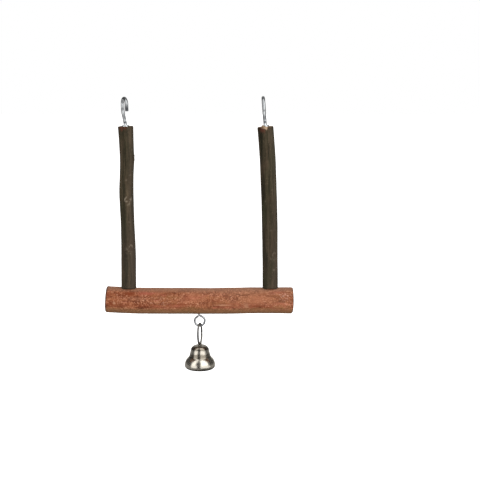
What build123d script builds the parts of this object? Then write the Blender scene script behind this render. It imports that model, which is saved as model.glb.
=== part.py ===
from build123d import *
import math
import os

# A bird swing: two thin branches stand on a thick round perch and hang by
# screw hooks, and a small bell hangs on a link from an eye under the perch.
# Sizes are in millimetres and degrees. +Z is up, +X runs along the perch and
# the front faces -Y. The origin lies on the hanging axis, which passes through
# the middles of both hook curls, above the middle of the perch.

# Perch
perch_length = 119.5
perch_diameter = 16.1
perch_edge_break = 0.6
perch_cut_lean = 3.0  # how far the left end's saw cut leans in at the top

# Uprights
upright_length = 103.5
upright_spacing = 90.3  # between the feet
left_upright_diameter = 8.7
right_upright_diameter = 9.4
upright_edge_break = 0.3
upright_seat_depth = 0.35  # how far the feet sink below the perch's crest
seat_clearance = 0.05

# Growth of the branches at evenly spaced stations, as shares of the diameter:
# how thick the branch is there, and how far its middle wanders off straight.
perch_growth = [
    (1.02, 0.056),
    (1.01, 0.003),
    (1.0, -0.006),
    (1.01, -0.012),
    (1.0, -0.003),
    (0.99, 0.009),
    (1.01, 0.012),
]
left_upright_growth = [
    (1.05, 0.0),
    (1.02, 0.011),
    (1.02, 0.023),
    (0.98, 0.017),
    (0.95, -0.011),
    (0.97, -0.04),
    (1.0, -0.063),
    (0.96, -0.029),
    (0.99, 0.017),
    (1.01, -0.011),
    (1.06, -0.046),
]
right_upright_growth = [
    (1.0, 0.0),
    (0.98, -0.016),
    (0.98, -0.037),
    (1.0, -0.074),
    (1.01, -0.144),
    (1.02, -0.229),
    (1.05, -0.362),
]

# Knots where side twigs were cut off: the share of the upright's length and
# the way the knot faces, as an angle from +X.
knot_diameter = 3.0
knot_height = 0.45
left_knots = [(0.26, -78.0), (0.55, -90.0), (0.81, 0.0)]
right_knots = [(0.25, -57.0)]

# Screw hooks
hook_wire = 2.2
hook_inner_diameter = 5.6
hook_tip_drop = 4.3  # from the curl's middle down to the cut tip
hook_back_drop = 4.6  # from the curl's middle down to the bend of the back
hook_rise = 14.3  # from the flange's underside up to the curl's middle
hook_stub = 1.7  # from the flange's underside up to the lower bend
hook_bend_radius = 4.0
hook_screw_length = 11.0
hook_tip_round = 0.3
hook_flange_diameter = 4.7
hook_flange_thickness = 1.1
hook_flange_round = 0.3
hook_flange_bed = 0.2  # how far the flange beds into the end grain
left_hook_turn = -64.0  # the way the tip faces, as an angle from +X
right_hook_turn = -90.0

# Wood screws that hold the uprights, driven up through the perch
screw_length = 28.0
screw_diameter = 2.9
screw_head_diameter = 5.6
screw_head_rim = 0.3
screw_head_sink = 0.9  # from the perch's underside up to the screw's head
screw_point = 4.0
recess_width = 0.8
recess_length = 2.9
recess_depth = 1.3

# Screw eye under the perch
eye_wire = 1.3
eye_inner_diameter = 5.0
eye_bend_radius = 2.0
eye_gap = 0.15  # between the ring's end and the bend
eye_stem = 0.3  # from the perch's underside down to the bend
eye_aside = 0.6  # how far the screw stands to the left of the ring's middle
eye_screw_length = 9.0

# Screwed wire
wire_point = 2.0  # length of the pointed end
thread_clearance = 0.05

# Oval link between the screw eye and the bell
link_wire = 1.1
link_length = 14.4
link_width = 7.0
link_gap = 0.25  # between the butted ends
link_turn = 68.0  # the link's broad side, as an angle from +X

# Play where one eye hangs in another
eye_play = 0.06

# Bell shell
bell_height = 14.8
bell_lip_diameter = 19.6
bell_lip_band = 1.8  # straight band above the lip
bell_waist_diameter = 13.3
bell_waist_drop = 7.3
bell_waist_round = 0.9
bell_shoulder_diameter = 11.4
bell_shoulder_drop = 2.8
bell_crown_diameter = 5.0  # flat top
bell_wall = 0.6
bell_hole_diameter = 2.2

# Wire hanger through the bell's crown, with an eye above and one below
hanger_wire = 0.8
hanger_inner_diameter = 1.4
hanger_bend_radius = 0.5
hanger_leg_gap = 0.1
hanger_play = 0.1  # between the eyes and the crown

# Clapper
clapper_wire = 0.8
clapper_inner_diameter = 1.4
clapper_bend_radius = 0.6
clapper_gap = 0.1
clapper_ball_diameter = 4.6
clapper_lift = 1.0  # from the bell's lip up to the ball
clapper_head_diameter = 1.4
clapper_head_thickness = 0.35
ball_clearance = 0.02


def eye_neck(radius, bend_radius, aside):
    """How high above a ring's middle the bend to its stem begins."""
    return math.sqrt((radius + bend_radius) ** 2 - (bend_radius - aside) ** 2)


# Levels and places worked out from the sizes above
upright_top = hook_flange_bed - hook_rise
seat_level = upright_top - upright_length
perch_level = seat_level + upright_seat_depth - perch_diameter / 2
perch_underside = perch_level - perch_diameter / 2
hook_radius = (hook_inner_diameter + hook_wire) / 2
screw_head_level = perch_underside + screw_head_sink

eye_radius = (eye_inner_diameter + eye_wire) / 2
eye_drop = eye_neck(eye_radius, eye_bend_radius, eye_aside) + eye_stem
eye_level = perch_underside - eye_drop
link_pivot_level = eye_level - eye_radius
link_top = link_pivot_level + eye_wire / 2 + link_wire / 2 + eye_play
link_radius = (link_width - link_wire) / 2
bell_pivot_level = link_top - (link_length - link_wire)

hanger_radius = (hanger_inner_diameter + hanger_wire) / 2
hanger_top_level = bell_pivot_level + link_wire / 2 + hanger_wire / 2 + eye_play - hanger_radius
hanger_seat = math.sqrt((hanger_radius + hanger_wire / 2) ** 2 - (bell_hole_diameter / 2) ** 2)
crown_level = hanger_top_level - hanger_seat - hanger_play
hanger_low_level = crown_level - bell_wall - hanger_play - hanger_seat
lip_level = crown_level - bell_height

clapper_radius = (clapper_inner_diameter + clapper_wire) / 2
clapper_pivot_level = hanger_low_level - hanger_radius
clapper_eye_level = clapper_pivot_level + (hanger_wire + clapper_wire) / 2 + eye_play - clapper_radius
ball_level = lip_level + clapper_lift + clapper_ball_diameter / 2

bell_turn = link_turn - 90.0


def branch_planes(foot, along, length, diameter, growth, wander_way, cut_lean=0.0):
    """The cutting planes of a branch: square to its line, but the first cut may lean."""
    step = length / (len(growth) - 1)
    middles = []
    for i, (swell, wander) in enumerate(growth):
        middles.append(foot + along * (i * step) + wander_way * (wander * diameter))
    lean = math.radians(cut_lean)
    first_way = along * math.cos(lean) - wander_way * math.sin(lean)
    planes = [Plane(middles[0], x_dir=(0, 1, 0), z_dir=first_way)]
    for i in range(1, len(middles)):
        after = middles[min(i + 1, len(middles) - 1)]
        planes.append(Plane(middles[i], x_dir=(0, 1, 0), z_dir=after - middles[i - 1]))
    return planes


def branch(planes, diameter, growth, foot_break, top_break):
    """A round branch lofted through its stations, with its sawn edges broken."""
    rings = []
    for plane, (swell, wander) in zip(planes, growth):
        rings.append(plane * Circle(diameter * swell / 2))
    body = loft(rings)
    ends = body.faces().filter_by(GeomType.PLANE)
    foot_face = ends.sort_by_distance(planes[0].origin)[0]
    top_face = ends.sort_by_distance(planes[-1].origin)[0]
    if foot_break > 0:
        body = chamfer(foot_face.edges(), foot_break)
        top_face = body.faces().filter_by(GeomType.PLANE).sort_by_distance(planes[-1].origin)[0]
    return chamfer(top_face.edges(), top_break)


def growth_at(growth, share):
    """The swell and the wander between two stations, on a straight line."""
    place = share * (len(growth) - 1)
    i = min(int(place), len(growth) - 2)
    low, high = growth[i], growth[i + 1]
    part = place - i
    return low[0] + part * (high[0] - low[0]), low[1] + part * (high[1] - low[1])


def knot(foot_x, diameter, growth, share, facing):
    """A low round knot that stands proud of an upright's bark."""
    ball_radius = (knot_diameter**2 / 4 + knot_height**2) / (2 * knot_height)
    swell, wander = growth_at(growth, share)
    reach = diameter * swell / 2 + knot_height - ball_radius
    x = foot_x + wander * diameter + reach * math.cos(math.radians(facing))
    y = reach * math.sin(math.radians(facing))
    return Pos(x, y, seat_level + share * upright_length) * Sphere(ball_radius)


def round_wire(path, diameter):
    """Round wire of one diameter along a path."""
    return sweep((path ^ 0) * Circle(diameter / 2), path=path)


def pointed_pin(diameter, length, point):
    """A round pin that runs up from the origin and ends in a point."""
    outline = Polyline(
        (0, 0),
        (diameter / 2, 0),
        (diameter / 2, length - point),
        (0, length),
        close=True,
    )
    return revolve(Plane.XZ * make_face(outline), Axis.Z)


def eye_path(radius, wire, bend_radius, gap, stem, aside=0.0):
    """A stem that comes down, bends away and runs round into a ring.

    The ring's middle is the origin, the stem starts at the height given and
    the ring's end stops short of the bend by the gap.
    """
    neck = eye_neck(radius, bend_radius, aside)
    bend_x = bend_radius - aside
    start = math.degrees(math.atan2(neck, bend_x))
    reach = radius + bend_radius
    clear = bend_radius + wire + gap
    short = math.degrees(math.acos((radius**2 + reach**2 - clear**2) / (2 * radius * reach)))
    with BuildLine(Plane.XZ) as line:
        Line((-aside, stem), (-aside, neck))
        CenterArc((bend_x, neck), bend_radius, 180, start)
        CenterArc((0, 0), radius, start, short - 360)
    return line.wire()


def wood_screw(room=0.0):
    """A countersunk screw that points up from its head, or the hole for one."""
    head = screw_head_diameter / 2 + room
    shank = screw_diameter / 2 + room
    outline = Polyline(
        (0, 0),
        (head, 0),
        (head, screw_head_rim),
        (shank, screw_head_rim + head - shank),
        (shank, screw_length - screw_point),
        (0, screw_length + room),
        close=True,
    )
    return revolve(Plane.XZ * make_face(outline), Axis.Z)


def cross_recess():
    """The crossed slots in a screw's head."""
    slot = Box(recess_length, recess_width, recess_depth, align=(Align.CENTER, Align.CENTER, Align.MIN))
    return slot + Rot(0, 0, 90) * slot


def screw_hook():
    """A hook with a flange, standing on the middle of its curl."""
    with BuildLine(Plane.XZ) as line:
        Line((hook_radius, -hook_tip_drop), (hook_radius, 0))
        CenterArc((0, 0), hook_radius, 0, 180)
        FilletPolyline(
            (-hook_radius, 0),
            (-hook_radius, -hook_back_drop),
            (0, hook_stub - hook_rise),
            (0, -hook_rise),
            radius=hook_bend_radius,
        )
    bent = round_wire(line.wire(), hook_wire)
    tip = bent.faces().filter_by(GeomType.PLANE).sort_by(Axis.X)[-1]
    bent = fillet(tip.edges(), hook_tip_round)
    flange = Cylinder(
        hook_flange_diameter / 2,
        hook_flange_thickness,
        align=(Align.CENTER, Align.CENTER, Align.MIN),
    )
    flange = fillet(flange.edges().sort_by(Axis.Z)[-1:], hook_flange_round)
    screw = Rot(180, 0, 0) * pointed_pin(hook_wire, hook_screw_length, wire_point)
    return bent + Pos(0, 0, -hook_rise) * (flange + screw)


def hook_room():
    """What a hook takes out of an upright: its screw's hole and its flange's bed."""
    hole = pointed_pin(hook_wire + 2 * thread_clearance, hook_screw_length + thread_clearance, wire_point)
    bed = Cylinder(
        hook_flange_diameter / 2 + thread_clearance,
        2 * hook_flange_thickness,
        align=(Align.CENTER, Align.CENTER, Align.MIN),
    )
    return Pos(0, 0, -hook_rise) * (Rot(180, 0, 0) * hole + bed)


def hook_place(top, turn):
    """A hook's place: in line with an upright's top, its curl on the hanging axis."""
    way = top.z_dir
    x = top.origin.X - top.origin.Z * way.X / way.Z
    lean = math.degrees(math.atan2(way.X, way.Z))
    return Pos(x, 0, 0) * Rot(0, lean, 0) * Rot(0, 0, turn)


def link():
    """An oval link of bent wire with its butted ends in one long side."""
    half = (link_length - link_width) / 2
    with BuildLine(Plane.XZ) as line:
        Line((link_radius, link_gap / 2), (link_radius, half))
        CenterArc((0, half), link_radius, 0, 180)
        Line((-link_radius, half), (-link_radius, -half))
        CenterArc((0, -half), link_radius, 180, 180)
        Line((link_radius, -half), (link_radius, -link_gap / 2))
    return round_wire(line.wire(), link_wire)


def bell():
    """A two-tiered bell: a domed top, a waist and a skirt that flares to the lip."""
    crown = (bell_crown_diameter / 2, 0)
    shoulder = (bell_shoulder_diameter / 2, -bell_shoulder_drop)
    waist = (bell_waist_diameter / 2, -bell_waist_drop)
    band = (bell_lip_diameter / 2, bell_lip_band - bell_height)
    lip = (bell_lip_diameter / 2, -bell_height)
    out = band[0] - waist[0]
    flare_radius = (out**2 + (waist[1] - band[1]) ** 2) / (2 * out)
    with BuildSketch(Plane.XZ) as outline:
        with BuildLine():
            Line((0, 0), crown)
            TangentArc(crown, shoulder, tangent=(1, 0))
            Line(shoulder, waist)
            RadiusArc(waist, band, flare_radius)
            Line(band, lip)
            Polyline(lip, (0, -bell_height), (0, 0))
        make_face()
        fillet(outline.vertices().sort_by_distance((waist[0], 0, waist[1]))[0], bell_waist_round)
    body = revolve(outline.sketch, Axis.Z)
    mouth = body.faces().sort_by(Axis.Z)[0]
    shell = offset(body, amount=-bell_wall, openings=mouth)
    return shell - Cylinder(bell_hole_diameter / 2, 4 * bell_wall)


def hanger():
    """One bent wire with an eye at each end and two legs through the crown.

    The upper eye's middle is the origin.
    """
    low = hanger_low_level - hanger_top_level
    leg = (hanger_wire + hanger_leg_gap) / 2
    side = leg + hanger_bend_radius
    rise = math.sqrt((hanger_radius + hanger_bend_radius) ** 2 - side**2)
    bend = math.degrees(math.atan2(rise, side))
    with BuildLine(Plane.XZ) as line:
        CenterArc((0, 0), hanger_radius, -bend, 180 + 2 * bend)
        CenterArc((-side, -rise), hanger_bend_radius, bend, -bend)
        Line((-leg, -rise), (-leg, low + rise))
        CenterArc((-side, low + rise), hanger_bend_radius, 0, -bend)
        CenterArc((0, low), hanger_radius, 180 - bend, 180 + 2 * bend)
        CenterArc((side, low + rise), hanger_bend_radius, 180 + bend, -bend)
        Line((leg, low + rise), (leg, -rise))
        CenterArc((side, -rise), hanger_bend_radius, 180, -bend)
    return round_wire(line.wire(), hanger_wire)


def clapper_stem():
    """The clapper's wire: an eye on top and a peened head that holds the ball."""
    drop = clapper_eye_level - ball_level + clapper_ball_diameter / 2
    path = eye_path(clapper_radius, clapper_wire, clapper_bend_radius, clapper_gap, drop)
    head = Cylinder(
        clapper_head_diameter / 2,
        clapper_head_thickness,
        align=(Align.CENTER, Align.CENTER, Align.MIN),
    )
    head = fillet(head.edges().sort_by(Axis.Z)[-1:], clapper_head_thickness / 2)
    return Rot(180, 0, 0) * (round_wire(path, clapper_wire) + Pos(0, 0, drop) * head)


def clapper_ball():
    """The ball, drilled for the clapper's wire."""
    drill = Cylinder(clapper_wire / 2 + ball_clearance, 2 * clapper_ball_diameter)
    return Sphere(clapper_ball_diameter / 2) - drill


parts = {}

# Perch, before it is drilled
perch_start = Vector(-perch_length / 2, 0, perch_level)
perch_planes = branch_planes(
    perch_start,
    Vector(1, 0, 0),
    perch_length,
    perch_diameter,
    perch_growth,
    Vector(0, 0, 1),
    perch_cut_lean,
)
perch = branch(perch_planes, perch_diameter, perch_growth, perch_edge_break, perch_edge_break)

# Uprights with their hooks and the screws that hold them
sides = [
    ("left", -1, left_upright_diameter, left_upright_growth, left_knots, left_hook_turn),
    ("right", 1, right_upright_diameter, right_upright_growth, right_knots, right_hook_turn),
]
for side, way, diameter, growth, knots, turn in sides:
    foot_x = way * upright_spacing / 2
    foot = Vector(foot_x, 0, seat_level)
    planes = branch_planes(foot, Vector(0, 0, 1), upright_length, diameter, growth, Vector(1, 0, 0))
    upright = branch(planes, diameter, growth, 0, upright_edge_break)
    for share, facing in knots:
        upright += knot(foot_x, diameter, growth, share, facing)
    place = hook_place(planes[-1], turn)
    screw_place = Pos(foot_x, 0, screw_head_level)
    upright -= place * hook_room()
    upright -= screw_place * wood_screw(thread_clearance)

    seat = Cylinder(
        diameter * growth[0][0] / 2 + seat_clearance,
        perch_diameter,
        align=(Align.CENTER, Align.CENTER, Align.MIN),
    )
    mouth = Cylinder(
        screw_head_diameter / 2 + thread_clearance,
        perch_diameter,
        align=(Align.CENTER, Align.CENTER, Align.MAX),
    )
    perch -= Pos(foot_x, 0, seat_level) * seat
    perch -= screw_place * (wood_screw(thread_clearance) + mouth)

    parts[side + "_upright"] = upright
    parts[side + "_hook"] = place * screw_hook()
    parts[side + "_perch_screw"] = screw_place * (wood_screw() - cross_recess())

# Perch, with the hole for the screw eye
eye_hole = pointed_pin(
    eye_wire + 2 * thread_clearance,
    eye_drop + eye_screw_length + thread_clearance,
    wire_point,
)
parts["perch"] = perch - Pos(-eye_aside, 0, eye_level) * eye_hole

# Screw eye
eye_line = eye_path(eye_radius, eye_wire, eye_bend_radius, eye_gap, eye_drop, eye_aside)
eye_ring = round_wire(eye_line, eye_wire)
eye_screw = Pos(-eye_aside, 0, eye_drop) * pointed_pin(eye_wire, eye_screw_length, wire_point)
parts["screw_eye"] = Pos(0, 0, eye_level) * (eye_ring + eye_screw)

# Link, bell and clapper, hanging straight down
parts["bell_link"] = Pos(0, 0, link_top - (link_length - link_wire) / 2) * Rot(0, 0, link_turn) * link()
parts["bell_shell"] = Pos(0, 0, crown_level) * bell()
parts["bell_hanger"] = Pos(0, 0, hanger_top_level) * Rot(0, 0, bell_turn) * hanger()
parts["clapper_stem"] = Pos(0, 0, clapper_eye_level) * Rot(0, 0, link_turn) * clapper_stem()
parts["clapper_ball"] = Pos(0, 0, ball_level) * clapper_ball()

os.makedirs("parts", exist_ok=True)
for name, piece in parts.items():
    piece.label = name
    export_step(piece, os.path.join("parts", name + ".step"))
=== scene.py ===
import math
import bpy
import numpy as np
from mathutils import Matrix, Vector


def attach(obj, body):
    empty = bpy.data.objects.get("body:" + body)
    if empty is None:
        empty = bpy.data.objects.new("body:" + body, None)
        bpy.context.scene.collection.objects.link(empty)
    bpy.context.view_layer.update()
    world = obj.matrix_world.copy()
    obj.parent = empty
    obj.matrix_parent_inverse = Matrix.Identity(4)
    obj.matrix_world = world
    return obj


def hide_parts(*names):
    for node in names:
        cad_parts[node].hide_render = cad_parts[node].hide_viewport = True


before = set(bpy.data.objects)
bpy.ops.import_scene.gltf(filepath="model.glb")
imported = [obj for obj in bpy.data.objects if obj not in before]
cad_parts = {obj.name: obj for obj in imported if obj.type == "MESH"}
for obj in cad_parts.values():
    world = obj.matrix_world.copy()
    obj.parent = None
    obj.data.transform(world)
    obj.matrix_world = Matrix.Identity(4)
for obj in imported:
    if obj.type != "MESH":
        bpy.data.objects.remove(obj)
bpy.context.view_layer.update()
scene = bpy.context.scene
mm = 0.001  # metres in a millimetre
print("frame loaded:", len(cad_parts), "nodes")

view = {"place": (0.02587, -0.73861, 0.04435), "aim": (0.02587, 0.0, -0.08589), "lens": 88.64, "sensor": 36.0}

lens = bpy.data.cameras.new("viewCamera")
lens.lens = view["lens"]
lens.sensor_width = view["sensor"]
camera = bpy.data.objects.new("viewCamera", lens)
camera.location = view["place"]
camera.rotation_euler = (Vector(view["aim"]) - Vector(view["place"])).to_track_quat("-Z", "Y").to_euler()
scene.collection.objects.link(camera)
scene.camera = camera
scene.view_settings.view_transform = "Standard"
print("camera placed")


def tint(red, green, blue):
    # a screen colour from 0 to 255, turned into the linear colour that shaders take
    share = np.array([red, green, blue]) / 255.0
    linear = np.where(share <= 0.04045, share / 12.92, ((share + 0.055) / 1.055) ** 2.4)
    return (*linear.tolist(), 1.0)


def latticeField(along, around, cellsAlong, cellsAround, seed):
    # random values on a lattice, blended smoothly between the four nearest; it closes on itself round a piece
    values = np.random.default_rng(seed).uniform(-1.0, 1.0, (cellsAlong + 2, cellsAround))
    a = np.clip(along, 0.0, 1.0) * cellsAlong
    b = np.mod(around, 1.0) * cellsAround
    i, j = np.floor(a).astype(int), np.floor(b).astype(int)
    fa, fb = a - i, b - j
    fa, fb = fa * fa * (3 - 2 * fa), fb * fb * (3 - 2 * fb)
    j, k = j % cellsAround, (j + 1) % cellsAround
    low = values[i, j] * (1 - fb) + values[i, k] * fb
    high = values[i + 1, j] * (1 - fb) + values[i + 1, k] * fb
    return low * (1 - fa) + high * fa


def latticeSum(along, around, layers, seed):
    # such fields added up, each with its height and its cells along and round, on seeds in a row
    fields = [height * latticeField(along, around, *cells, seed + k)
              for k, (height, *cells) in enumerate(layers)]
    return sum(fields)


def stationCurve(values, share):
    # a smooth curve through evenly spaced values: a cubic for each span, its end slopes from the neighbours
    values = np.asarray(values, float)
    wide = np.concatenate([[2 * values[0] - values[1]], values, [2 * values[-1] - values[-2]]])
    place = np.clip(share, 0.0, 1.0) * (len(values) - 1)
    i = np.minimum(np.floor(place).astype(int), len(values) - 2)
    t = place - i
    p, q, r, s = wide[i], wide[i + 1], wide[i + 2], wide[i + 3]
    return q + 0.5 * t * (r - p + t * (2 * p - 5 * q + 4 * r - s + t * (3 * (q - r) + s - p)))


def bump(distance, width):
    # a soft hump that is one in the middle and fades over the width
    return np.exp(-((distance / width) ** 2))


def spreadTo(values, low, high):
    # nought up to the low value, one from the high one on and a smooth step between
    t = np.clip((values - low) / (high - low), 0, 1)
    return t * t * (3 - 2 * t)


def angleFrom(angle, middle):
    # the signed turn from one angle to another, in degrees, between -180 and 180
    return np.mod(angle - middle + 180.0, 360.0) - 180.0


def meshPiece(name, body, coords, faces, place=None, kinds=None, fields=None, sharp=40.0):
    # points in millimetres and faces become a mesh whose faces are turned outwards by the sign of its volume
    quads, fans = faces
    if place:
        matrix, move = place
        coords = coords @ matrix.T + move
    corners = np.concatenate([quads[:, [0, 1, 2]], quads[:, [0, 2, 3]], fans])
    a, b, c = coords[corners[:, 0]], coords[corners[:, 1]], coords[corners[:, 2]]
    if np.einsum("ij,ij->", a, np.cross(b, c)) < 0:
        quads, fans = quads[:, ::-1], fans[:, ::-1]
    mesh = bpy.data.meshes.new(name)
    mesh.from_pydata((coords * mm).tolist(), [], quads.tolist() + fans.tolist())
    mesh.polygons.foreach_set("use_smooth", np.ones(len(quads) + len(fans), bool))
    if kinds is not None:
        mesh.polygons.foreach_set("material_index", kinds.astype(np.int32))
    for key, values in (fields or {}).items():
        mesh.attributes.new(key, "FLOAT", "POINT").data.foreach_set("value", values.astype(np.float32))
    mesh.set_sharp_from_angle(angle=math.radians(sharp))
    piece = bpy.data.objects.new(name, mesh)
    scene.collection.objects.link(piece)
    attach(piece, body)
    return piece


def gridFaces(rows, cols, loop=False):
    # quads between neighbouring rows and columns; columns close, and rows close in a loop or else end in fans
    # to two poles, which come after the grid's own points
    index = np.arange(rows * cols).reshape(rows, cols)
    here = index if loop else index[:-1]
    there = np.roll(index, -1, 0) if loop else index[1:]
    quads = np.stack([here, np.roll(here, -1, 1), np.roll(there, -1, 1), there], -1).reshape(-1, 4)
    if loop:
        return quads, np.zeros((0, 3), int)
    first, last = index[0], index[-1]
    foot = np.stack([np.full(cols, rows * cols), np.roll(first, -1), first], -1)
    top = np.stack([np.full(cols, rows * cols + 1), last, np.roll(last, -1)], -1)
    return quads, np.concatenate([foot, top])


def joinPieces(piece, *others):
    with bpy.context.temp_override(active_object=piece, selected_editable_objects=[piece, *others]):
        bpy.ops.object.join()
    return piece


def finishPiece(piece, slot, materials, *nodes):
    for material in materials:
        piece.data.materials.append(material)
    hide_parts(*nodes)


def newMaterial(name, roughness, metallic=0.0, specular=0.5):
    material = bpy.data.materials.new(name)
    material.use_nodes = True
    shader = material.node_tree.nodes["Principled BSDF"]
    shader.inputs["Roughness"].default_value = roughness
    shader.inputs["Metallic"].default_value = metallic
    shader.inputs["Specular IOR Level"].default_value = specular
    return material, material.node_tree, shader


def addNode(tree, kind, inputs=None, **settings):
    # an input takes another node's output or a constant
    node = tree.nodes.new(kind)
    for key, value in settings.items():
        setattr(node, key, value)
    for key, value in (inputs or {}).items():
        if isinstance(value, bpy.types.NodeSocket):
            tree.links.new(value, node.inputs[key])
        else:
            node.inputs[key].default_value = value
    return node


def ownPlace(tree, stretch=(1, 1, 1), shift=(0, 0, 0)):
    # the piece's own coordinates in metres; a small stretch draws a pattern out along an axis
    place = addNode(tree, "ShaderNodeTexCoord").outputs["Object"]
    node = addNode(tree, "ShaderNodeMapping", {"Vector": place, "Scale": stretch, "Location": shift})
    return node.outputs["Vector"]


def noiseAt(tree, scale, stretch=(1, 1, 1), detail=4.0, roughness=0.55, shift=(0, 0, 0)):
    # noise on the piece's own coordinates, in cells per metre
    noise = addNode(tree, "ShaderNodeTexNoise", {
        "Vector": ownPlace(tree, stretch, shift), "Scale": scale, "Detail": detail, "Roughness": roughness})
    return noise.outputs["Fac"]


def poresAt(tree, scale, stretch, share, size):
    # spots near the points of a scattered grid, in that share of its cells whose random shade is the highest
    cells = addNode(tree, "ShaderNodeTexVoronoi", {"Vector": ownPlace(tree, stretch), "Scale": scale})
    chosen = spread(tree, cells.outputs["Color"], 1 - share, 1.02 - share)
    return combine(tree, chosen, spread(tree, cells.outputs["Distance"], size, 0.5 * size))


def colourRamp(tree, factor, stops):
    # colours in order of the factor, each stop a place from 0 to 1 and a screen colour
    node = addNode(tree, "ShaderNodeValToRGB", {"Fac": factor})
    line = node.color_ramp.elements
    while len(line) < len(stops):
        line.new(0.5)
    for element, (place, colour) in zip(line, stops):
        element.position = place
        element.color = tint(*colour)
    return node.outputs["Color"]


def mixColours(tree, factor, first, second, blend="MIX"):
    inputs = {0: factor, 6: first, 7: second}
    return addNode(tree, "ShaderNodeMix", inputs, data_type="RGBA", blend_type=blend).outputs[2]


def layered(tree, colour, look, layers):
    # the look's plain colours laid over one another in order, each as far as its share says
    for name, share in layers.items():
        colour = mixColours(tree, share, colour, tint(*look[name]))
    return colour


def spread(tree, value, low, high, outLow=0.0, outHigh=1.0):
    # carries one span of a value over to another, held at both ends
    node = addNode(tree, "ShaderNodeMapRange", {
        "Value": value, "From Min": low, "From Max": high, "To Min": outLow, "To Max": outHigh})
    return node.outputs["Result"]


def combine(tree, first, second, operation="MULTIPLY"):
    return addNode(tree, "ShaderNodeMath", {0: first, 1: second}, operation=operation).outputs["Value"]


def fieldOf(tree, name):
    return addNode(tree, "ShaderNodeAttribute", attribute_name=name).outputs["Fac"]


def relief(tree, shader, height, distance, strength):
    node = addNode(tree, "ShaderNodeBump", {"Height": height, "Distance": distance, "Strength": strength})
    tree.links.new(node.outputs["Normal"], shader.inputs["Normal"])


perchLook = {
    "ground": [(0.30, (140, 74, 46)), (0.42, (162, 96, 63)), (0.52, (180, 116, 79)), (0.60, (190, 111, 85)),
               (0.70, (162, 117, 72))],
    "grain": [(0.33, (92, 46, 28)), (0.43, (138, 80, 52)), (0.51, (170, 104, 74)), (0.59, (200, 131, 99)),
              (0.69, (232, 178, 146))],
    "mottle": [(0.34, (196, 178, 168)), (0.5, (248, 246, 244)), (0.62, (255, 255, 255))],
    "streak": [(0.36, (186, 166, 156)), (0.47, (255, 255, 255))],
    "dustAndSheen": (164, 122, 98),
    "under": (134, 100, 66),
    "shadedBelly": (98, 76, 50),
    "olive": (134, 96, 54),
    "flush": (132, 62, 33),
    "rosy": (188, 106, 84),
    "smooth": (182, 112, 80),
    "pale": (206, 154, 122),
    "frost": (226, 180, 162),
    "rim": (78, 52, 40),
}


def perchBark(look):
    # thin reddish bark: granular flecks over broad patches, greyer on top with dust and painted sheen,
    # painted shade at the very bottom, a few stains and rubbed spots
    material, tree, shader = newMaterial("perchBark", 0.75, specular=0.15)
    grain = noiseAt(tree, 1350, (0.85, 1, 1), detail=2, roughness=0.5)
    patch = noiseAt(tree, 160, (0.45, 1, 1), detail=3)
    streak = noiseAt(tree, 700, (0.1, 1, 1), detail=3)
    wear = noiseAt(tree, 130, (0.5, 1, 1), detail=1, shift=(1.3, 0.7, 0.2))
    mottle = noiseAt(tree, 430, (0.6, 1, 1), detail=2, shift=(0.4, 0.2, 0.1))
    flecks, ground = colourRamp(tree, grain, look["grain"]), colourRamp(tree, patch, look["ground"])
    colour = mixColours(tree, spread(tree, wear, 0.4, 0.6, 0.2, 0.66), flecks, ground)
    for share, noise, stops in ((0.9, mottle, look["mottle"]), (0.6, streak, look["streak"])):
        colour = mixColours(tree, share, colour, colourRamp(tree, noise, stops), "MULTIPLY")
    upward = fieldOf(tree, "skyward")
    streaks = spread(tree, streak, 0.35, 0.6, 0.65, 1.0)
    colour = layered(tree, colour, look, {
        "smooth": fieldOf(tree, "smooth"),
        "rosy": fieldOf(tree, "rosy"),
        # painted sheen of the light from above, with some dust: greyer where the bark faces up
        "dustAndSheen": spread(tree, upward, 0.74, 0.95, 0.0, 0.75),
        "under": combine(tree, spread(tree, upward, -0.34, -0.56, 0.0, 0.75), streaks),
        # painted shade: darker still towards the very bottom, where the perch turns away from the light
        "shadedBelly": spread(tree, upward, -0.66, -0.92, 0.0, 0.6),
        "olive": fieldOf(tree, "olive"),
        "flush": fieldOf(tree, "flush"),
        "pale": fieldOf(tree, "pale"),
        "frost": combine(tree, fieldOf(tree, "frost"), spread(tree, grain, 0.5, 0.62)),
        # the dark bark rim at the sawn ends, and painted shade along the left end's edge
        "rim": fieldOf(tree, "edge"),
    })
    tree.links.new(colour, shader.inputs["Base Color"])
    tree.links.new(spread(tree, grain, 0.35, 0.65, 0.84, 0.68), shader.inputs["Roughness"])
    relief(tree, shader, combine(tree, grain, streak, "ADD"), 0.0002, 0.8)
    return material


uprightLook = {
    "tone": [(0.0, (34, 31, 20)), (0.3, (52, 47, 33)), (0.52, (68, 60, 45)), (0.74, (82, 71, 55)),
             (1.0, (102, 88, 69))],
    "warm": (84, 68, 53),
    "grey": (78, 68, 60),
    "moss": (62, 62, 42),
    "fissure": (30, 27, 19),
    "pore": (124, 108, 86),
    "scar": (172, 158, 138),
    "redInner": (112, 60, 46),
    "rawWood": (206, 178, 148),
    "tornWood": (166, 132, 102),
}


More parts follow.
